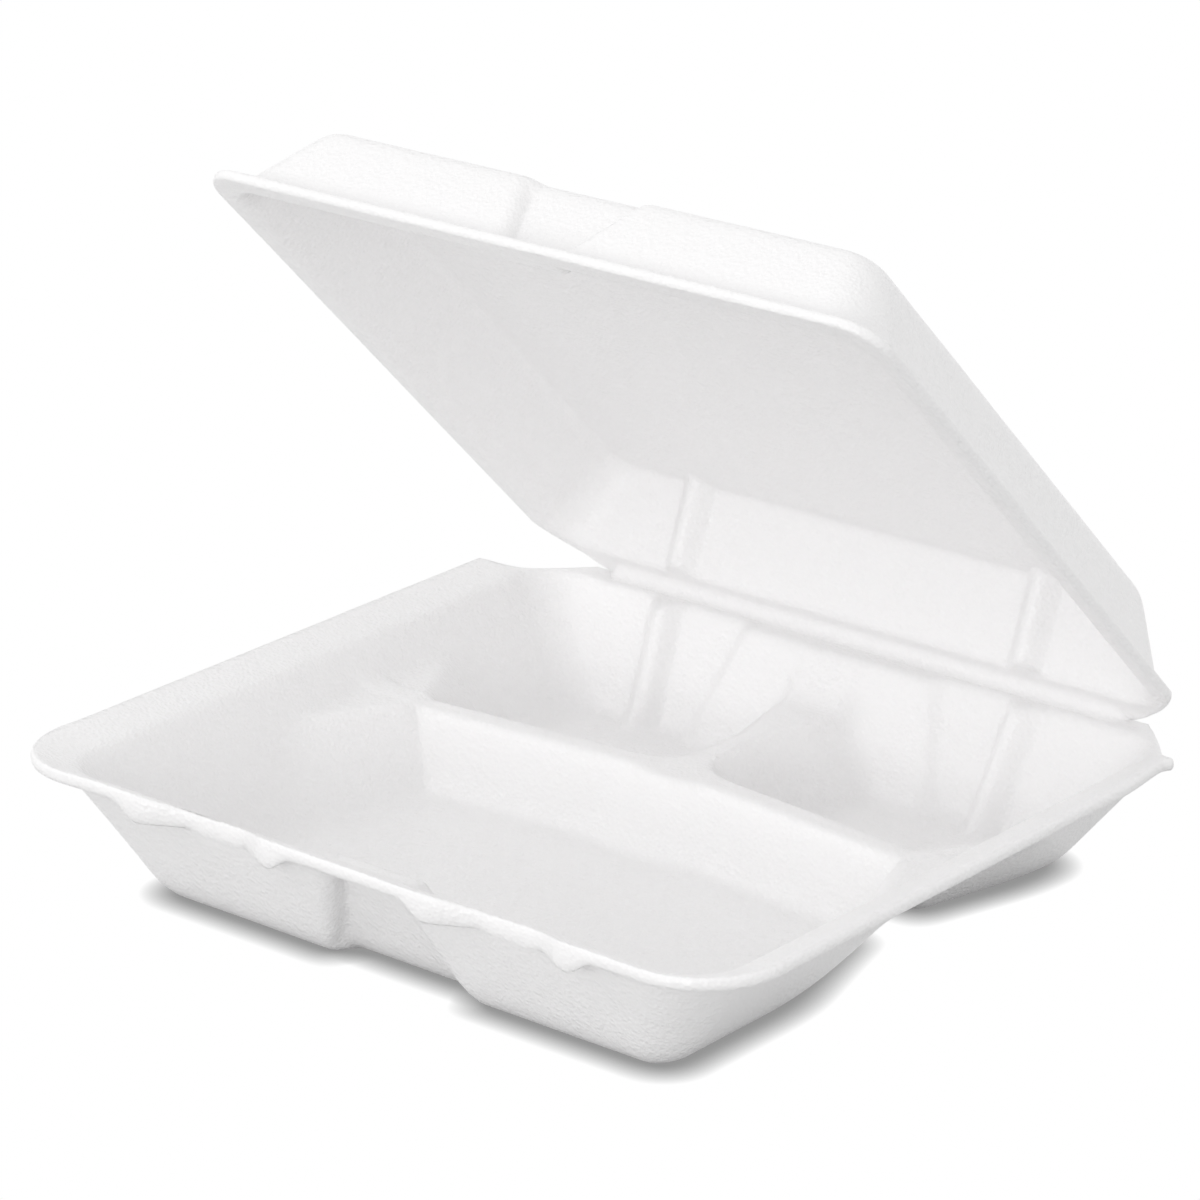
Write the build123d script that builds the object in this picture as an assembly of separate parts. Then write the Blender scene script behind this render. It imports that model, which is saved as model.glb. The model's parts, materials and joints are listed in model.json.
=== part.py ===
from build123d import *
import math
import os

# sheet and clearances, mm
sheet = 2.8
lid_sheet = 2.5
overrun = 5.0
hinge_gap = 0.2
seat_gap = 0.8

# base tray: half sizes of the mouth at the crease and of the floor
crease_height = 29.6
mouth_half_x = 91.6
mouth_half_y = 82.5
mouth_corner = 16.0
mouth_back_corner = 9.0
floor_half_x = 71.8
floor_half_y = 70.3
floor_corner = 13.0
floor_round = 6.0

# flared rim, and the flat strip at the back that carries the hinge
rim_height = 33.0
rim_half_x = 101.5
front_flange = 6.9
back_flange = 4.0
strip_width = 7.8
rim_corner = 20.0
rim_back_corner = 18.0
flare_start = 18.5
flare_stop = 4.5
hinge_half = 80.0
strip_corner = 9.0
rim_front = mouth_half_y + front_flange
rim_back = mouth_half_y + back_flange
hinge_y = mouth_half_y + strip_width
flare_end = mouth_half_y - flare_start
flare_foot = mouth_half_y - flare_stop

# long divider with its bend in the middle, and the short one behind it
crest_height = 19.3
crest_half = 3.6
foot_half = 10.6
crest_round = 2.6
bend_y = 21.6
end_y = 12.5
divider_reach = 96.0

# side walls pushed in at the ends of the long divider
pier_foot_x = 56.5
pier_top_x = 73.5
pier_face_foot = 4.0
pier_face_top = 6.0
pier_wall_foot = 37.0
pier_wall_top = 21.0
pier_height = 21.0
pier_round = 5.0

# pushed-in panels and narrow ribs of the front and back walls
front_panel_low = 20.3
front_panel_high = 9.0
back_panel_low = 35.0
back_panel_high = 27.0
panel_depth = 4.0
panel_bevel = 42.0
rib_x = 52.0
rib_half = 4.6
rib_depth = 4.0
rib_bevel = 42.0

# latch: two lengths of the front rim cut back with slanting ends, the rim drooping beside them
notch_x = 41.8
notch_half = 18.4
notch_slant = 11.0
notch_depth = 6.0
droop = 4.0
droop_length = 9.0

# lid: measured from the hinge line, closed
open_angle = 45.45
lid_lap = 1.1
lid_reach = hinge_y + mouth_half_y + lid_lap
lid_half_x = 91.6
lip_width = 2.0
lip_height = 2.4
lid_strip = 6.0
lid_corner = 16.0
lid_back_corner = 14.0
lid_depth = 22.6
panel_half_x = 73.1
panel_back = 18.7
panel_inset = 13.3
panel_front = lid_reach - panel_inset
panel_corner = 14.0
lid_panel_low = 9.0
lid_panel_high = 18.0
lid_panel_depth = 2.4


def outline(half_x, back, front, back_corner, front_corner, height):
    """Rounded outline between y = back and y = -front at one height."""
    shape = Pos(0, (back - front) / 2) * Rectangle(2 * half_x, back + front)
    shape = fillet(shape.vertices().group_by(Axis.Y)[-1], back_corner)
    shape = fillet(shape.vertices().group_by(Axis.Y)[0], front_corner)
    return Pos(0, 0, height) * shape


def drafted(low, high):
    return loft([low, high], ruled=True)


def run_of(foot, top, rise):
    """Sideways run of a wall for each mm of height."""
    return (top - foot) / rise


def skin(slope, thickness):
    """Sheet thickness measured level across a sloping wall."""
    return thickness * math.hypot(1, slope)


def ridge_section(half_top, half_low, top, low, radius):
    shape = Polygon((-half_low, low), (-half_top, top), (half_top, top), (half_low, low), align=None)
    return fillet(shape.vertices().group_by(Axis.Y)[-1], radius)


def dividers(depth):
    """Long and short divider as one form, sunk by a sheet for the hollow side."""
    slope = run_of(crest_half, foot_half, crest_height - sheet)
    top = crest_height - depth
    low = -overrun
    half_top = crest_half + slope * depth - skin(slope, depth)
    half_low = crest_half + slope * (crest_height - low) - skin(slope, depth)
    radius = min(crest_round, half_top / 2)
    section = ridge_section(half_top, half_low, top, low, radius)
    middle = Plane((0, bend_y, 0), x_dir=(0, 1, 0), z_dir=(1, 0, 0)) * section
    across = Plane((0, bend_y, 0), x_dir=(1, 0, 0), z_dir=(0, -1, 0)) * section
    form = extrude(across, divider_reach, dir=(0, 1, 0))
    for side in (-1, 1):
        end = Plane((side * divider_reach, end_y, 0), x_dir=(0, 1, 0), z_dir=(1, 0, 0)) * section
        form += loft([middle, end], ruled=True)
    return form


def pier_plan(face_x, face_half, wall_x, wall_half, side, height):
    far_x = wall_x + pier_wall_foot
    shape = Polygon(
        (face_x, -face_half),
        (face_x, face_half),
        (wall_x, wall_half),
        (far_x, wall_half),
        (far_x, -wall_half),
        (wall_x, -wall_half),
        align=None,
    )
    shape = fillet(shape.vertices().group_by(Axis.X)[0], pier_round)
    if side < 0:
        shape = mirror(shape, about=Plane.YZ)
    return Pos(0, end_y, height) * shape


def piers(depth):
    """Pushed-in lengths of the side walls, sunk by a sheet for the outside."""
    form = []
    step = skin(side_run, depth)
    foot_wall = floor_half_x - side_run * (sheet + overrun) + step
    top_wall = floor_half_x + side_run * (pier_height - sheet) + step
    for side in (-1, 1):
        foot = pier_plan(pier_foot_x + step, pier_face_foot - depth, foot_wall, pier_wall_foot - 2 * depth,
                         side, -overrun)
        top = pier_plan(pier_top_x + step, pier_face_top - depth, top_wall, pier_wall_top - depth,
                        side, pier_height - depth)
        form.append(drafted(foot, top))
    return form


def on_wall(x, low_half, high_half, low, high, face, depth, bevel):
    """Raised panel on a sloping wall: face maps heights to a point and the wall's frame."""
    plane = face(x)
    shape = Polygon((-low_half, low), (low_half, low), (high_half, high), (-high_half, high), align=None)
    return extrude(plane * shape, depth, taper=bevel)


def sloping(foot_y, foot_z, slope, side, inward):
    """Frames on a front or back wall, local y up the wall, facing in or out."""
    length = math.hypot(1, slope)
    up = Vector(0, side * slope / length, 1 / length)
    out = Vector(0, side / length, -slope / length)
    facing = out * -1 if inward else out

    def at(x):
        along = up.cross(facing)
        return Plane((x, side * foot_y, foot_z), x_dir=along, z_dir=facing)

    return at


side_run = run_of(floor_half_x, mouth_half_x, crease_height - sheet)
wall_run = run_of(floor_half_y, mouth_half_y, crease_height - sheet)
side_skin = skin(side_run, sheet)
wall_skin = skin(wall_run, sheet)
wall_length = math.hypot(1, wall_run) * (crease_height - sheet)


def tray_hollow():
    """Space above the sheet: mouth, compartments and the dish of the flared rim."""
    low = outline(floor_half_x, floor_half_y, floor_half_y, floor_corner, floor_corner, sheet)
    high = outline(mouth_half_x, mouth_half_y, mouth_half_y, mouth_back_corner, mouth_corner, crease_height)
    space = drafted(low, high)
    space = fillet(space.edges().group_by(Axis.Z)[0], floor_round)
    space -= dividers(0)
    for form in piers(0):
        space -= form
    front = sloping(floor_half_y, sheet, wall_run, -1, True)
    back = sloping(floor_half_y, sheet, wall_run, 1, True)
    reach = wall_length + overrun
    space -= on_wall(0, front_panel_low, front_panel_high, -overrun, reach, front, panel_depth, panel_bevel)
    space -= on_wall(0, back_panel_low, back_panel_high, -overrun, reach, back, panel_depth, panel_bevel)
    for side in (-1, 1):
        space -= on_wall(side * rib_x, rib_half, rib_half, -overrun, reach, back, rib_depth, rib_bevel)
    return space


def rim_dish(drop):
    low = outline(mouth_half_x, mouth_half_y, mouth_half_y, mouth_back_corner, mouth_corner,
                  crease_height - drop)
    high = outline(rim_half_x, rim_back, rim_front, rim_back_corner, rim_corner, rim_height - drop)
    return drafted(low, high)


def tray_block():
    """Everything below the top face: walls, flared rim and the hollows of the outside."""
    foot_x = floor_half_x - side_run * sheet + side_skin
    foot_y = floor_half_y - wall_run * sheet + wall_skin
    top_z = crease_height - sheet
    low = outline(foot_x, foot_y, foot_y, floor_corner, floor_corner, 0)
    high = outline(foot_x + side_run * top_z, foot_y + wall_run * top_z, foot_y + wall_run * top_z,
                   mouth_back_corner, mouth_corner, top_z)
    block = drafted(low, high)
    block = fillet(block.edges().group_by(Axis.Z)[0], floor_round)
    block -= dividers(sheet)
    for form in piers(sheet):
        block -= form
    front = sloping(foot_y, 0, wall_run, -1, True)
    back = sloping(foot_y, 0, wall_run, 1, True)
    block -= on_wall(0, front_panel_low, front_panel_high, -overrun, wall_length - sheet, front,
                     panel_depth, panel_bevel)
    block -= on_wall(0, back_panel_low, back_panel_high, -overrun, wall_length - sheet, back,
                     panel_depth, panel_bevel)
    for side in (-1, 1):
        block -= on_wall(side * rib_x, rib_half, rib_half, -overrun, wall_length - sheet, back,
                         rib_depth, rib_bevel)
    edge = outline(rim_half_x, rim_back, rim_front, rim_back_corner, rim_corner, rim_height - sheet)
    return block + rim_dish(sheet) + extrude(edge, sheet)


def flare_cut():
    """Wedge that brings the flared rim down to the hinge strip at the back corners."""
    top = rim_height + overrun
    wedge = Polygon(
        (flare_end, rim_height),
        (flare_foot, crease_height),
        (rim_back + overrun, crease_height),
        (rim_back + overrun, top),
        (flare_end, top),
        align=None,
    )
    plane = Plane((-rim_half_x - overrun, 0, 0), x_dir=(0, 1, 0), z_dir=(1, 0, 0))
    return extrude(plane * wedge, 2 * (rim_half_x + overrun))


def hinge_strip():
    strip = outline(hinge_half, hinge_y - hinge_gap, -mouth_half_y + sheet, strip_corner / 2, sheet / 2,
                    crease_height - sheet)
    return extrude(strip, sheet)


def notch(x):
    """Cut in the front rim, narrower towards the wall."""
    inner = notch_half - notch_slant
    plan = Polygon(
        (x - notch_half, -rim_front),
        (x - notch_half, -rim_front - overrun),
        (x + notch_half, -rim_front - overrun),
        (x + notch_half, -rim_front),
        (x + inner, -rim_front + notch_depth),
        (x - inner, -rim_front + notch_depth),
        align=None,
    )
    return extrude(plan, rim_height + overrun, dir=(0, 0, 1))


def nub(x, side):
    """Thickened underside of the rim beside a notch, fading away from it."""
    rim_low = rim_height - sheet
    tip = x + side * notch_half
    profile = Polygon(
        (x, rim_low - droop),
        (tip, rim_low - droop),
        (tip + side * droop_length, rim_low),
        (tip + side * droop_length, rim_height),
        (x, rim_height),
        align=None,
    )
    plane = Plane((0, -mouth_half_y, 0), x_dir=(1, 0, 0), z_dir=(0, -1, 0))
    return extrude(plane * profile, rim_front - mouth_half_y, dir=(0, -1, 0))


def make_tray():
    tray = tray_block() + hinge_strip()
    for x in (-notch_x, notch_x):
        for side in (-1, 1):
            tray += nub(x, side)
    tray = tray - tray_hollow() - rim_dish(0) - flare_cut()
    for x in (-notch_x, notch_x):
        tray -= notch(x)
    return tray


def make_lid():
    """Lid built closed over the tray, then swung open about the hinge line."""
    rim_z = crease_height + seat_gap
    wall_half = lid_half_x - lip_width
    wall_front = lid_reach - lip_width
    rise = lid_depth - seat_gap
    side_slope = run_of(panel_half_x, wall_half, rise)
    front_slope = run_of(panel_front, wall_front, rise)
    back_slope = run_of(lid_strip, panel_back, rise)

    def ring(half_x, back, front, back_corner, front_corner, height):
        return outline(half_x, hinge_y - back, front - hinge_y, back_corner, front_corner, height)

    outer = drafted(
        ring(wall_half, lid_strip, wall_front, lid_back_corner, lid_corner, rim_z),
        ring(panel_half_x, panel_back, panel_front, panel_corner, panel_corner, crease_height + lid_depth),
    )
    outer = fillet(outer.edges().group_by(Axis.Z)[-1], floor_round)
    side_in = skin(side_slope, lid_sheet)
    front_in = skin(front_slope, lid_sheet)
    back_in = skin(back_slope, lid_sheet)
    deep = rise - lid_sheet
    inner = drafted(
        ring(wall_half - side_in, lid_strip + back_in, wall_front - front_in, lid_back_corner, lid_corner, rim_z),
        ring(wall_half - side_in - side_slope * deep, lid_strip + back_in + back_slope * deep,
             wall_front - front_in - front_slope * deep, panel_corner, panel_corner, rim_z + deep),
    )
    inner = fillet(inner.edges().group_by(Axis.Z)[-1], floor_round)
    front_face = sloping(wall_front - hinge_y, rim_z, -front_slope, -1, True)
    inner_front = sloping(wall_front - front_in - hinge_y, rim_z, -front_slope, -1, True)
    back_face = sloping(hinge_y - lid_strip, rim_z, -back_slope, 1, True)
    inner_back = sloping(hinge_y - lid_strip - back_in, rim_z, -back_slope, 1, True)
    length = math.hypot(1, front_slope) * rise
    outer -= on_wall(0, lid_panel_low, lid_panel_high, lip_height, length + overrun, front_face,
                     lid_panel_depth, panel_bevel)
    inner -= on_wall(0, lid_panel_low, lid_panel_high, -overrun, length + overrun, inner_front,
                     lid_panel_depth, panel_bevel)
    for side in (-1, 1):
        outer -= on_wall(side * rib_x, rib_half, rib_half, lip_height, length + overrun, back_face,
                         rib_depth, rib_bevel)
        inner -= on_wall(side * rib_x, rib_half, rib_half, -overrun, length + overrun, inner_back,
                         rib_depth, rib_bevel)
    lip = extrude(ring(lid_half_x, hinge_gap, lid_reach, lid_back_corner, lid_corner, rim_z), lip_height)
    lid = outer + lip - inner
    return lid.rotate(Axis((0, hinge_y, crease_height), (1, 0, 0)), -open_angle)


os.makedirs("parts", exist_ok=True)
export_step(make_tray(), "parts/base_tray.step")
export_step(make_lid(), "parts/lid.step")
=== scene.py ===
import json
import math
import bpy
import numpy as np
from mathutils import Matrix, Vector


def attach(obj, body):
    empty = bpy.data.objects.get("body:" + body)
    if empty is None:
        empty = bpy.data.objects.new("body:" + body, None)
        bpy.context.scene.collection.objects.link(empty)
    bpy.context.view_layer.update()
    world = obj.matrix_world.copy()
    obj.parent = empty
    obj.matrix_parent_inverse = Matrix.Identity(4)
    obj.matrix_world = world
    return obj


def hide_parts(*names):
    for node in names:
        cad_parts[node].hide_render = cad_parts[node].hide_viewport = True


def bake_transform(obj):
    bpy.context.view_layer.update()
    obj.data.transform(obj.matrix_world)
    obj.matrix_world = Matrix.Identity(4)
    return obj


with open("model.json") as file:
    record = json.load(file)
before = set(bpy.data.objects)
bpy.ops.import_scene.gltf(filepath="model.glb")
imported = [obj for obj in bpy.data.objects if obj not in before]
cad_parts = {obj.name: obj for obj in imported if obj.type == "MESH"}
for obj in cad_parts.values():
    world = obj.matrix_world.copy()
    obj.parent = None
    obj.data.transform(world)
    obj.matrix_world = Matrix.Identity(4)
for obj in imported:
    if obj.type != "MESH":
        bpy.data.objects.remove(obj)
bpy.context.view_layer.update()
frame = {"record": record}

hinge = frame["record"]["behaviour"]["joints"][0]["pos_m"]

# sheets: fine table for offsetting, grid of the meshes, search for a wall's height, ribs, soft cut edge
sheet = dict(
    table=0.00025, step=0.00096, arcSteps=34, bandSamples=4001, bandFade=0.004,
    shareRange=(-1.0, 3.0), halvings=20, leastCorner=0.002, ribRoundShare=0.45,
    edgeShares=(0.1, 0.3, 0.5, 0.7, 0.9), edgeBulge=0.0007, bulgeFade=(0.003, 0.0005),
)


def smoothMax(a, b, k):
    h = np.clip(0.5 + 0.5 * (a - b) / k, 0, 1)
    return b * (1 - h) + a * h + k * h * (1 - h)


def smoothMin(a, b, k):
    return -smoothMax(-a, -b, k)


def ramp(value, start, end):
    t = np.clip((value - start) / (end - start), 0, 1)
    return t * t * (3 - 2 * t)


def ringHeight(x, y, low, high, outward):
    # height of a ruled wall between two rounded rings, found by halving
    lo, hi = [np.full_like(x, end) for end in sheet["shareRange"]]
    for _ in range(sheet["halvings"]):
        t = (lo + hi) / 2
        halfX, halfY, frontCorner, backCorner, _, middle = [a + (b - a) * t for a, b in zip(low, high)]
        corner = np.maximum(np.where(y < middle, frontCorner, backCorner), sheet["leastCorner"])
        qx, qy = np.abs(x) - halfX + corner, np.abs(y - middle) - halfY + corner
        side = np.hypot(np.maximum(qx, 0), np.maximum(qy, 0)) + np.minimum(np.maximum(qx, qy), 0) - corner
        further = side > 0 if outward else side < 0
        lo, hi = np.where(further, t, lo), np.where(further, hi, t)
    return low[4] + (high[4] - low[4]) * (lo + hi) / 2


def panelMask(x, share, halves, bevel):
    half = halves[0] + (halves[1] - halves[0]) * np.clip(share, 0, 1)
    return ramp(half + bevel / 2 - np.abs(x), 0, bevel)


def ribBump(x, share, piece):
    middle = piece["ribX"] + piece["ribLean"] * np.clip(share, 0, 1)
    away = np.clip(np.abs(np.abs(x) - middle) / piece["ribHalf"], 0, 1)
    roundShare = sheet["ribRoundShare"]
    return roundShare * (1 - away ** 2) + (1 - roundShare) * (0.5 + 0.5 * np.cos(math.pi * away))


def offsetTable(height, halfX, front, back, thick, sign):
    # other face of a sheet: the surface moved by its thickness, ball against table
    step = sheet["table"]
    room = int(thick / step) + 1
    xs = np.arange(-halfX - thick - step, halfX + thick + 2 * step, step)
    ys = np.arange(front - thick - step, back + thick + 2 * step, step)
    table = sign * height(*np.meshgrid(xs, ys))
    rows, columns = table.shape
    out = np.full((rows - 2 * room, columns - 2 * room), -np.inf)
    for i in range(-room, room + 1):
        for j in range(-room, room + 1):
            rise = thick ** 2 - (i * i + j * j) * step * step
            if rise >= 0:
                part = table[room + i:rows - room + i, room + j:columns - room + j]
                np.maximum(out, part + math.sqrt(rise), out=out)
    soft = out.copy()
    soft[1:-1, 1:-1] = sum(out[1 + i:rows - 2 * room - 1 + i, 1 + j:columns - 2 * room - 1 + j]
                           for i in (-1, 0, 1) for j in (-1, 0, 1)) / 9
    return xs[room:-room], ys[room:-room], sign * soft


def readTable(table, x, y):
    xs, ys, values = table
    u = np.clip((x - xs[0]) / sheet["table"], 0, len(xs) - 1.001)
    v = np.clip((y - ys[0]) / sheet["table"], 0, len(ys) - 1.001)
    i, j = u.astype(int), v.astype(int)
    u, v = u - i, v - j
    low = values[j, i] * (1 - u) + values[j, i + 1] * u
    high = values[j + 1, i] * (1 - u) + values[j + 1, i + 1] * u
    return low * (1 - v) + high * v


def cornerRows(edge, inward, halfX, corner, bend):
    # rows across a rounded corner; a bend over one makes it more of a chamfer
    turn = np.linspace(math.pi / 2, 0, sheet["arcSteps"])
    return [(edge + inward * corner * (1 - math.sin(a) ** bend), halfX - corner * (1 - math.cos(a) ** bend))
            for a in turn]


def spread(start, end, bands):
    # places from start to end, closer together inside the bands
    fade = sheet["bandFade"]
    at = np.linspace(start, end, sheet["bandSamples"])
    weight = np.ones_like(at)
    for low, high, more in bands:
        weight += more * ramp(at, low - fade, low) * (1 - ramp(at, high, high + fade))
    total = np.concatenate([[0], np.cumsum((weight[1:] + weight[:-1]) / 2)])
    return np.interp(np.linspace(0, total[-1], int((end - start) / sheet["step"]) + 1), total, at)


def outlineGrid(halfX, front, back, frontCorner, backCorner, backBend, bandsX, bandsY):
    rows = cornerRows(front, 1, halfX, frontCorner, 1)
    rows += [(y, halfX) for y in spread(front + frontCorner, back - backCorner, bandsY)[1:-1]]
    rows += cornerRows(back, -1, halfX, backCorner, backBend)[::-1]
    across = spread(-halfX, halfX, [(-b, -a, more) for a, b, more in bandsX] + list(bandsX)) / halfX
    y = np.array([r[0] for r in rows])[:, None] + 0 * across[None, :]
    x = np.array([r[1] for r in rows])[:, None] * across[None, :]
    return x, y


def sheetMesh(name, x, y, upper, lower, place):
    # closed sheet: upper grid, lower grid and a soft cut edge between their rims
    rows, columns = x.shape
    count = rows * columns
    index = np.arange(count).reshape(rows, columns)
    loop = np.concatenate([index[0, :-1], index[:-1, -1], index[-1, :0:-1], index[:0:-1, 0]])
    top = np.stack([x, y, upper], -1).reshape(-1, 3)
    bottom = np.stack([x, y, lower], -1).reshape(-1, 3)
    along = np.roll(top[loop, :2], -1, axis=0) - np.roll(top[loop, :2], 1, axis=0)
    out = np.stack([along[:, 1], -along[:, 0]], -1)
    out /= np.maximum(np.linalg.norm(out, axis=1, keepdims=True), 1e-9)
    start, end = [y.max() - fade for fade in sheet["bulgeFade"]]
    atHinge = ramp(top[loop, 1], start, end)[:, None]
    points, rings = [top, bottom], [loop]
    for share in sheet["edgeShares"]:
        ring = top[loop] * (1 - share) + bottom[loop] * share
        ring[:, :2] += out * sheet["edgeBulge"] * math.sin(math.pi * share) ** 0.5 * (1 - atHinge)
        rings.append(2 * count + np.arange(len(loop)) + sum(len(p) for p in points[2:]))
        points.append(ring)
    rings.append(loop + count)
    a, b, c, d = index[:-1, :-1], index[:-1, 1:], index[1:, 1:], index[1:, :-1]
    faces = [np.stack([a, b, c, d], -1).reshape(-1, 4), np.stack([d, c, b, a], -1).reshape(-1, 4) + count]
    for high, low in zip(rings, rings[1:]):
        faces.append(np.stack([high, low, np.roll(low, -1), np.roll(high, -1)], -1))
    mesh = bpy.data.meshes.new(name)
    mesh.from_pydata(place(np.concatenate(points)).tolist(), [], np.concatenate(faces).tolist())
    mesh.validate()
    mesh.shade_smooth()
    obj = bpy.data.objects.new(name, mesh)
    bpy.context.collection.objects.link(obj)
    return obj


# a ring is half width, half depth, front and back corner, height and the y of its middle, in metres
tray = dict(
    thick=0.0028, hingeThick=0.0010, hingeFade=0.004,
    floorRing=(0.0718, 0.0703, 0.005, 0.009, 0.0028, 0.0),
    mouthRing=(0.0916, 0.0830, 0.014, 0.010, 0.0296, 0.0005),
    rimRing=(0.1015, 0.0894, 0.020, 0.018, 0.0330, 0.0),
    rimCorner=0.020, backCorner=0.0205, backBend=2.0, flareStart=0.070, flareEnd=0.083,
    floorBlend=0.006, creaseBlend=0.0012, ridgeBlend=0.007, pierBlend=0.0024,
    crest=0.0197, crestHalf=0.0034, crestBlend=0.0032, ridgeSteep=2.36,
    bendY=0.0216, bendFall=0.095, bendRound=0.006, forkRound=0.012, shortSpread=0.0045, shortFrom=0.045,
    spreadBlend=2.0, pushFrom=0.05,
    pierY=0.0135, pierFoot=0.0605, pierLean=0.615, pierFan=0.24, pierFanRise=17.0, pierFace=0.004,
    pierTop=0.0208,
    frontPanel=(0.0203, 0.009), panelPush=0.0052, panelBevel=0.0046,
    backPanel=(0.035, 0.027), backPush=0.0030, backBevel=0.008,
    ribX=0.0505, ribLean=0.0025, ribHalf=0.0052, ribPush=0.0046,
    notchX=0.0418, notchHalf=0.0184, notchSlant=0.011, notchDepth=0.0060, notchBand=0.014,
    notchSoft=(0.3, 0.25), nubLow=0.0262, nubStart=0.001, droop=0.009, nubFade=0.003, nubBand=0.07,
    nubBlend=0.0008, footGap=0.0001,
    tipY=0.0715, tipReach=0.0018, tipWide=0.0022, tipFrom=0.086, bentIn=0.0018, bentFrom=0.050, bentTo=0.070,
    leftOut=0.0015, leftX=(0.072, 0.096), leftY=(0.062, 0.086),
    bandsX=((0.027, 0.057, 1.6), (0.066, 0.093, 0.6)), bandsY=((0.006, 0.032, 0.6), (0.060, 0.070, 1.0)),
)


def trayTop(x, y):
    s = tray
    foot, top = s["floorRing"][4], s["mouthRing"][4]
    wall = ringHeight(x, y, s["floorRing"], s["mouthRing"], True)
    share = (wall - foot) / (top - foot)
    front = s["panelPush"] * panelMask(x, share, s["frontPanel"], s["panelBevel"]) * (y < 0)
    back = s["backPush"] * panelMask(x, share, s["backPanel"], s["backBevel"]) * (y > 0)
    push = front + back + s["ribPush"] * ribBump(x, share, s) * (y > 0)
    pushed = ringHeight(x, y + np.sign(y) * push, s["floorRing"], s["mouthRing"], True)
    wall = np.where(np.abs(y) > s["pushFrom"], pushed, wall)
    z = smoothMax(wall, np.full_like(x, s["thick"]), s["floorBlend"])

    bent = s["bendY"] - s["bendFall"] * (np.sqrt(x * x + s["bendRound"] ** 2) - s["bendRound"])
    longWay = np.abs(y - bent)
    spreading = s["shortSpread"] * ramp(y, s["shortFrom"], s["floorRing"][1])
    shortWay = np.hypot(np.maximum(np.abs(x) - spreading, 0), np.maximum(bent - y, 0))
    away = smoothMin(longWay, shortWay, s["forkRound"])
    flank = s["crest"] - (away - s["crestHalf"]) * s["ridgeSteep"]
    ridge = smoothMin(np.full_like(x, s["crest"]), flank, s["crestBlend"])
    z = smoothMax(z, ridge, s["ridgeBlend"] + s["spreadBlend"] * spreading)

    fan = np.maximum(np.abs(y - s["pierY"]) - s["pierFace"], 0)
    rise = (np.abs(x) - s["pierFoot"] - s["pierFan"] * fan) / (s["pierLean"] + s["pierFanRise"] * fan)
    pier = smoothMin(s["thick"] + rise, np.full_like(x, s["pierTop"]), s["crestBlend"])
    z = smoothMax(z, pier, s["pierBlend"])

    flare = 1 - ramp(y, s["flareStart"], s["flareEnd"])
    dish = top + (ringHeight(x, y, s["mouthRing"], s["rimRing"], True) - top) * flare
    return smoothMin(z, np.maximum(dish, top - s["creaseBlend"]), s["creaseBlend"])


def makeTray():
    s = tray
    halfX, front, back = s["rimRing"][0], -s["rimRing"][1], hinge[1]
    x, y = outlineGrid(halfX, front, back, s["rimCorner"], s["backCorner"], s["backBend"],
                       s["bandsX"], s["bandsY"])
    beside = np.abs(np.abs(x) - s["notchX"]) - s["notchHalf"]  # negative inside a notch
    cut = smoothMin(np.clip(-beside / s["notchSlant"], -1, 2), np.ones_like(x), s["notchSoft"][0])
    cut = smoothMax(cut, np.zeros_like(x), s["notchSoft"][1])
    y = y + np.clip((front + s["notchBand"] - y) / s["notchBand"], 0, 1) * cut * s["notchDepth"]
    # the photographed container's back right corner is bent in, with a torn tip
    tip = s["tipReach"] * np.exp(-((y - s["tipY"]) / s["tipWide"]) ** 2)
    tip = (tip - s["bentIn"] * ramp(y, s["bentFrom"], s["bentTo"])) * ramp(x, s["tipFrom"], halfX)
    out = s["leftOut"] * ramp(-x, *s["leftX"]) * ramp(-y, *s["leftY"])  # its front left corner stands out
    upper = trayTop(x, y)
    below = offsetTable(trayTop, halfX, front, back, s["thick"], -1)
    lower = np.maximum(readTable(below, x, y), s["footGap"])
    rimLow = s["rimRing"][4] - s["thick"]
    inside = ramp(-beside, s["notchSlant"], s["notchSlant"] + s["nubFade"])
    nub = s["nubLow"] + (rimLow - s["nubLow"]) * np.maximum(ramp(beside, s["nubStart"], s["droop"]), inside)
    nub = np.where(nub < rimLow, nub, 1.0)  # out of reach where the rim has no nub
    lower = np.where(y < -s["nubBand"], smoothMin(lower, nub, s["nubBlend"]), lower)
    pressed = ramp(y, back - s["hingeFade"], back)
    lower = lower * (1 - pressed) + (upper - s["hingeThick"]) * pressed
    return sheetMesh("foamTray", x + tip - out, y - out, upper, lower, lambda p: p)


# measured from the hinge line with the lid shut, y running from the front edge to 0
lid = dict(
    thick=0.0025, hingeThick=0.0010, hingeFade=0.005, angle=math.radians(45.45), seat=0.0008,
    halfX=0.0927, reach=0.1739, frontCorner=0.009, backCorner=0.0165, backBend=1.55,
    wallRing=(0.0880, 0.0803, 0.010, 0.010, 0.0008, -0.0890),
    panelRing=(0.0758, 0.0727, 0.006, 0.007, 0.0206, -0.0902),
    lipBlend=0.0020, topBlend=0.0030,
    frontPanel=(0.0070, 0.0155), panelPush=0.0028, panelBevel=0.0052,
    ribX=0.0505, ribLean=0.0, ribHalf=0.0052, ribPush=0.0046,
    bandsX=((0.004, 0.018, 1.0), (0.044, 0.057, 1.4), (0.072, 0.0916, 0.6)),
    bandsY=((-0.166, -0.156, 0.8), (-0.022, -0.012, 0.8)),
)


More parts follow.
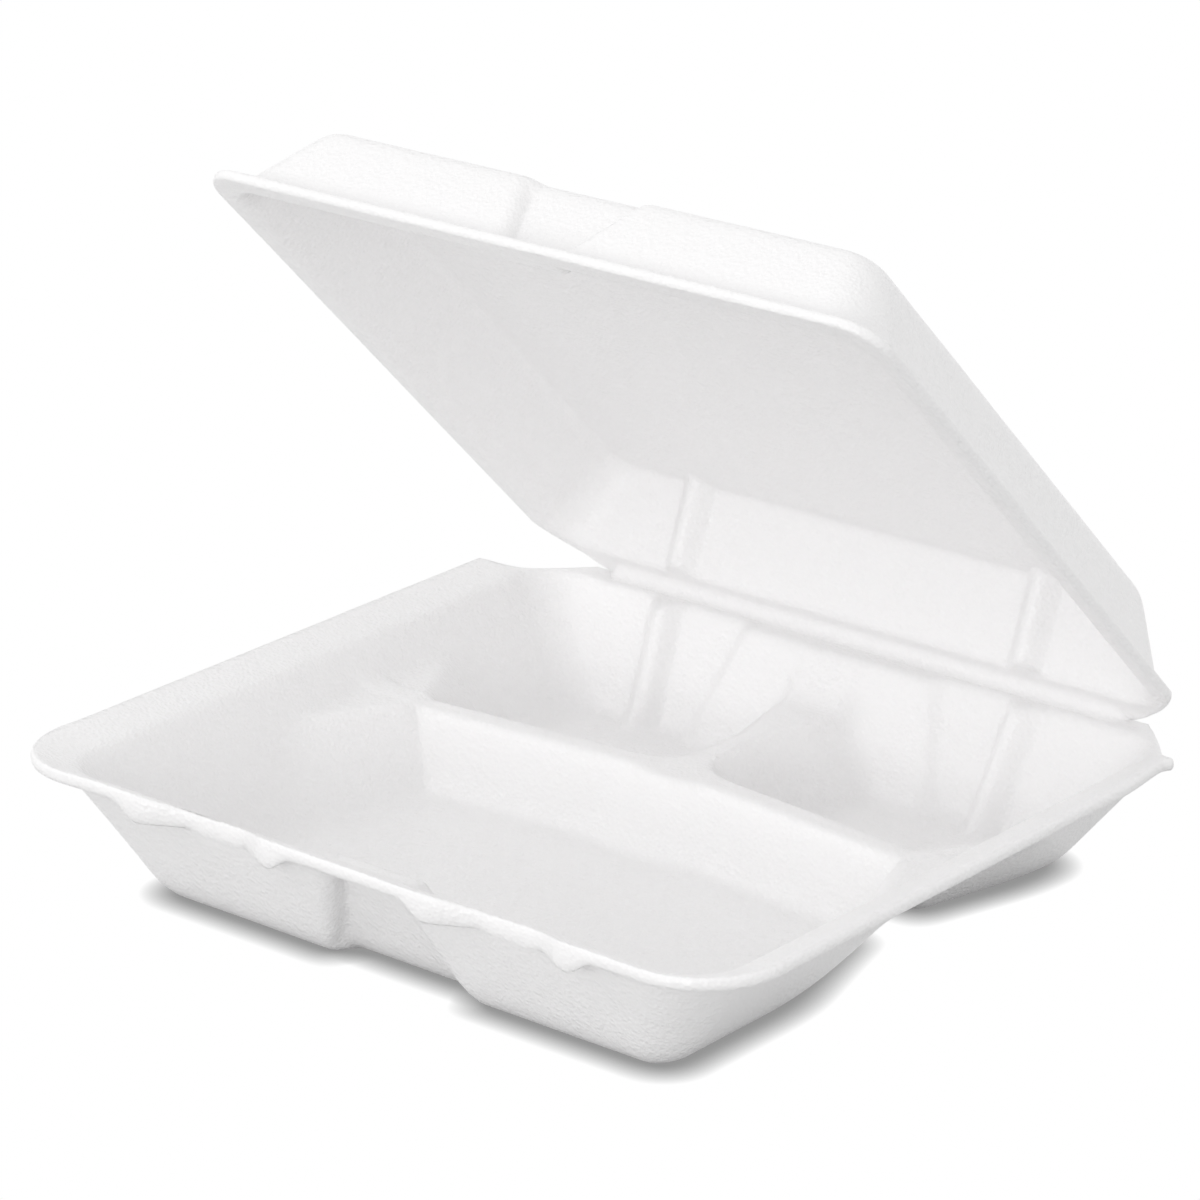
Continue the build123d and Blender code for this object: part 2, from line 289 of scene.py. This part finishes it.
def lidUnder(x, y):
    s = lid
    foot, top, middle = s["wallRing"][4], s["panelRing"][4], s["wallRing"][5]
    wall = ringHeight(x, y, s["wallRing"], s["panelRing"], False)
    share = (wall - foot) / (top - foot)
    push = s["panelPush"] * panelMask(x, share, s["frontPanel"], s["panelBevel"]) * (y < middle)
    push = push - s["ribPush"] * ribBump(x, share, s) * (y > middle)
    wall = ringHeight(x, y - push, s["wallRing"], s["panelRing"], False)
    z = smoothMin(wall, np.full_like(x, top), s["topBlend"])
    return smoothMax(z, np.full_like(x, s["seat"]), s["lipBlend"])


def makeLid():
    s = lid
    x, y = outlineGrid(s["halfX"], -s["reach"], 0.0, s["frontCorner"], s["backCorner"], s["backBend"],
                       s["bandsX"], s["bandsY"])
    lower = lidUnder(x, y)
    upper = readTable(offsetTable(lidUnder, s["halfX"], -s["reach"], 0.0, s["thick"], 1), x, y)
    pressed = ramp(y, -s["hingeFade"], 0)
    lower = lower * (1 - pressed)
    upper = upper * (1 - pressed) + s["hingeThick"] * pressed
    swing = np.array(Matrix.Rotation(-s["angle"], 3, "X"))
    return sheetMesh("foamLid", x, y, upper, lower, lambda p: p @ swing.T + np.array(hinge))


# round inside of the fold, between the tray's hinge strip and the lid's; sink buries its back in them
fold = dict(
    reach=0.0055, leastReach=0.0016, half=0.0762, endFade=0.005, columns=120, arcSteps=12, sink=0.0003,
)


def makeFold():
    s = fold
    angle = lid["angle"]
    toTray, toLid = np.array([-1.0, 0.0]), np.array([-math.cos(angle), math.sin(angle)])
    between = (toTray + toLid) / np.linalg.norm(toTray + toLid)
    apart = lid["seat"] / math.sin(angle)  # the lid's strip lies this far behind the hinge line
    points, faces, smooth = [], [], []
    xs = np.linspace(-s["half"], s["half"], s["columns"])
    ring = s["arcSteps"] + 4
    for x in xs:
        ending = max(abs(x) - s["half"] + s["endFade"], 0) / s["endFade"]
        reach = max(s["reach"] * math.sqrt(1 - ending ** 2), s["leastReach"])
        radius = reach * math.tan(angle / 2)
        middle = between * math.hypot(reach, radius)
        first, last = reach * toTray - middle, reach * toLid - middle
        sweep = math.pi - angle
        row = []
        for i in range(s["arcSteps"] + 1):
            a = sweep * i / s["arcSteps"]
            row.append(middle + (math.sin(sweep - a) * first + math.sin(a) * last) / math.sin(sweep))
        row.append(reach * toLid + s["sink"] * last / radius)
        row.append(np.array([-apart, -s["sink"]]))
        row.append(reach * toTray + s["sink"] * first / radius)
        points += [(x, hinge[1] + apart + p[0], hinge[2] + p[1]) for p in row]
    for i in range(len(xs) - 1):
        for j in range(ring):
            k = (j + 1) % ring
            faces.append((i * ring + j, (i + 1) * ring + j, (i + 1) * ring + k, i * ring + k))
            smooth.append(j < s["arcSteps"])
    faces += [tuple(range(ring)), tuple(range((len(xs) - 1) * ring, len(xs) * ring))[::-1]]
    smooth += [False, False]
    mesh = bpy.data.meshes.new("foamFold")
    mesh.from_pydata(points, [], faces)
    mesh.validate()
    mesh.polygons.foreach_set("use_smooth", smooth)
    obj = bpy.data.objects.new("foamFold", mesh)
    bpy.context.collection.objects.link(obj)
    return obj


# slight unevenness of the moulded surface, and the foam's own finish
foam = dict(
    uneven=0.00022, unevenScale=34.0, seed=3.0,
    color=(0.955, 0.948, 0.95, 1), roughness=0.30, specular=0.5,
    cellScale=1050, grainScale=330, grainShare=0.8, bump=0.45, bumpHeight=0.0005,
)


def makeFoam():
    s = foam
    mat = bpy.data.materials.new("foam")
    mat.use_nodes = True
    nodes, links = mat.node_tree.nodes, mat.node_tree.links
    skin = nodes["Principled BSDF"]
    skin.inputs["Base Color"].default_value = s["color"]
    skin.inputs["Roughness"].default_value = s["roughness"]
    skin.inputs["Specular IOR Level"].default_value = s["specular"]
    where = nodes.new("ShaderNodeTexCoord")
    cells = nodes.new("ShaderNodeTexVoronoi")
    cells.inputs["Scale"].default_value = s["cellScale"]
    grain = nodes.new("ShaderNodeTexNoise")
    grain.inputs["Scale"].default_value = s["grainScale"]
    grain.inputs["Detail"].default_value = 4
    both = nodes.new("ShaderNodeMath")
    both.operation = "MULTIPLY_ADD"
    both.inputs[1].default_value = s["grainShare"]
    bump = nodes.new("ShaderNodeBump")
    bump.inputs["Strength"].default_value = s["bump"]
    bump.inputs["Distance"].default_value = s["bumpHeight"]
    links.new(where.outputs["Object"], cells.inputs["Vector"])
    links.new(where.outputs["Object"], grain.inputs["Vector"])
    links.new(cells.outputs["Distance"], both.inputs[0])
    links.new(grain.outputs["Fac"], both.inputs[2])
    links.new(both.outputs[0], bump.inputs["Height"])
    links.new(bump.outputs["Normal"], skin.inputs["Normal"])
    return mat


def unevenTree(mat):
    # moves the sheet along its normals by a broad noise, then gives it the foam
    tree = bpy.data.node_groups.new("unevenFoam", "GeometryNodeTree")
    sockets = {}
    inputs = (("Geometry", "NodeSocketGeometry"), ("Amount", "NodeSocketFloat"),
              ("Scale", "NodeSocketFloat"), ("Seed", "NodeSocketFloat"))
    for name, kind in inputs:
        sockets[name] = tree.interface.new_socket(name, in_out="INPUT", socket_type=kind).identifier
    tree.interface.new_socket("Geometry", in_out="OUTPUT", socket_type="NodeSocketGeometry")
    nodes, links = tree.nodes, tree.links
    source, result = nodes.new("NodeGroupInput"), nodes.new("NodeGroupOutput")
    noise = nodes.new("ShaderNodeTexNoise")
    noise.noise_dimensions = "4D"
    noise.inputs["Detail"].default_value = 1
    centre = nodes.new("ShaderNodeMath")
    centre.operation = "SUBTRACT"
    centre.inputs[1].default_value = 0.5
    size = nodes.new("ShaderNodeMath")
    size.operation = "MULTIPLY"
    normal = nodes.new("GeometryNodeInputNormal")
    shift = nodes.new("ShaderNodeVectorMath")
    shift.operation = "SCALE"
    move = nodes.new("GeometryNodeSetPosition")
    whole = nodes.new("GeometryNodeRealizeInstances")
    finish = nodes.new("GeometryNodeSetMaterial")
    finish.inputs["Material"].default_value = mat
    links.new(source.outputs["Scale"], noise.inputs["Scale"])
    links.new(source.outputs["Seed"], noise.inputs["W"])
    links.new(noise.outputs["Fac"], centre.inputs[0])
    links.new(centre.outputs[0], size.inputs[0])
    links.new(source.outputs["Amount"], size.inputs[1])
    links.new(normal.outputs["Normal"], shift.inputs[0])
    links.new(size.outputs[0], shift.inputs["Scale"])
    links.new(source.outputs["Geometry"], move.inputs["Geometry"])
    links.new(shift.outputs["Vector"], move.inputs["Offset"])
    links.new(move.outputs["Geometry"], whole.inputs["Geometry"])
    links.new(whole.outputs["Geometry"], finish.inputs["Geometry"])
    links.new(finish.outputs["Geometry"], result.inputs["Geometry"])
    return tree, sockets


def finishSheet(obj, tree, sockets):
    change = obj.modifiers.new("uneven", "NODES")
    change.node_group = tree
    for name, value in (("Amount", foam["uneven"]), ("Scale", foam["unevenScale"]), ("Seed", foam["seed"])):
        change[sockets[name]] = value
    depsgraph = bpy.context.evaluated_depsgraph_get()
    mesh = bpy.data.meshes.new_from_object(obj.evaluated_get(depsgraph))
    obj.modifiers.clear()
    obj.data = mesh
    obj.data.name = obj.name


# photograph's camera, fitted to its straight edges; light powers in watts
studio = dict(
    sensor=36, focalPixels=5323.7, photoPixels=1200, clipEnd=20,
    azimuth=40.167, elevation=20.644, roll=-0.331, camera=(0.70406, -0.83912, 0.47928),
    # on the next line, the last three set the floor's painted contact shadow: how far it reaches, its
    # darkest tone, and the openness below which it is darkest
    horizon=1.08, zenith=0.75, floorBounce=0.52, paintedShadowReach=0.006, paintedShadowDark=0.30, paintedShadowFrom=0.2,
    lights=(("key", (-0.93, -0.70, 1.0), 0.40, 1.9), ("fill", (0.3, -1.47, 0.28), 0.9, 5.2)),
    target=(0, 0, 0.05), half=6.0,
)


def addCamera():
    s = studio
    data = bpy.data.cameras.new("camera")
    data.sensor_width = s["sensor"]
    data.lens = s["sensor"] * s["focalPixels"] / s["photoPixels"]
    data.clip_end = s["clipEnd"]
    cam = bpy.data.objects.new("camera", data)
    turns = ((s["azimuth"], "Z"), (90 - s["elevation"], "X"), (s["roll"], "Z"))
    heading, tilt, roll = [Matrix.Rotation(math.radians(angle), 4, axis) for angle, axis in turns]
    cam.matrix_world = Matrix.Translation(s["camera"]) @ (heading @ tilt) @ roll
    bpy.context.collection.objects.link(cam)
    bpy.context.scene.camera = cam


def addLight(name, place, size, power):
    data = bpy.data.lights.new(name, "AREA")
    data.shape = "DISK"
    data.size = size
    data.energy = power
    obj = bpy.data.objects.new(name, data)
    obj.location = place
    obj.rotation_euler = (Vector(studio["target"]) - Vector(place)).to_track_quat("-Z", "Y").to_euler()
    bpy.context.collection.objects.link(obj)


def seenRay(nodes, links):
    # 1 for the rays that show the background: the camera's, and those in gloss or through glass
    path = nodes.new("ShaderNodeLightPath")
    either = path.outputs["Is Camera Ray"]
    for other in ("Is Glossy Ray", "Is Transmission Ray"):
        most = nodes.new("ShaderNodeMath")
        most.operation = "MAXIMUM"
        links.new(either, most.inputs[0])
        links.new(path.outputs[other], most.inputs[1])
        either = most.outputs[0]
    return either


def addFloor():
    s = studio
    mesh = bpy.data.meshes.new("floor")
    half = s["half"]
    corners = [(-half, -half, 0), (half, -half, 0), (half, half, 0), (-half, half, 0)]
    mesh.from_pydata(corners, [], [(0, 1, 2, 3)])
    floor = bpy.data.objects.new("floor", mesh)
    bpy.context.collection.objects.link(floor)
    mat = bpy.data.materials.new("floor")
    mat.use_nodes = True
    nodes, links = mat.node_tree.nodes, mat.node_tree.links
    nodes.remove(nodes["Principled BSDF"])
    # white where it lies open, with a painted contact shadow that darkens it close under the foam; grey
    # paper to the light that bounces
    paintedShadowAO = nodes.new("ShaderNodeAmbientOcclusion")
    paintedShadowAO.inputs["Distance"].default_value = s["paintedShadowReach"]
    paintedShadowTone = nodes.new("ShaderNodeMapRange")
    paintedShadowTone.inputs["From Min"].default_value = s["paintedShadowFrom"]
    paintedShadowTone.inputs["To Min"].default_value = s["paintedShadowDark"]
    seen, bounced = nodes.new("ShaderNodeEmission"), nodes.new("ShaderNodeBsdfDiffuse")
    bounced.inputs["Color"].default_value = (s["floorBounce"],) * 3 + (1,)
    pick = nodes.new("ShaderNodeMixShader")
    links.new(paintedShadowAO.outputs["AO"], paintedShadowTone.inputs["Value"])
    links.new(paintedShadowTone.outputs["Result"], seen.inputs["Color"])
    links.new(seenRay(nodes, links), pick.inputs[0])
    links.new(bounced.outputs[0], pick.inputs[1])
    links.new(seen.outputs[0], pick.inputs[2])
    links.new(pick.outputs[0], nodes["Material Output"].inputs["Surface"])
    mesh.materials.append(mat)


def addStage():
    s = studio
    addFloor()
    world = bpy.data.worlds.new("studio")
    world.use_nodes = True
    nodes, links = world.node_tree.nodes, world.node_tree.links
    # even white light, a little stronger from the sides than from above; plain white where it is seen
    way, part = nodes.new("ShaderNodeTexCoord"), nodes.new("ShaderNodeSeparateXYZ")
    fall = nodes.new("ShaderNodeMapRange")
    fall.inputs["To Min"].default_value = s["horizon"]
    fall.inputs["To Max"].default_value = s["zenith"]
    plain = nodes.new("ShaderNodeMix")
    plain.inputs["B"].default_value = 1
    nodes["Background"].inputs["Color"].default_value = (1, 1, 1, 1)
    links.new(way.outputs["Generated"], part.inputs[0])
    links.new(part.outputs["Z"], fall.inputs["Value"])
    links.new(fall.outputs["Result"], plain.inputs["A"])
    links.new(seenRay(nodes, links), plain.inputs["Factor"])
    links.new(plain.outputs["Result"], nodes["Background"].inputs["Strength"])
    bpy.context.scene.world = world
    for light in s["lights"]:
        addLight(*light)


tree, sockets = unevenTree(makeFoam())
print("foam finish made")
for maker, body, node in ((makeTray, "tray_body", "base_tray"), (makeLid, "lid_body", "lid")):
    piece = maker()
    finishSheet(piece, tree, sockets)
    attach(piece, body)
    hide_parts(node)
    print(piece.name, len(piece.data.polygons), "faces")
piece = makeFold()
finishSheet(piece, tree, sockets)
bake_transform(piece)
print(piece.name, len(piece.data.polygons), "faces")
addStage()
addCamera()
bpy.context.scene.view_settings.view_transform = "Standard"
print("stage set")
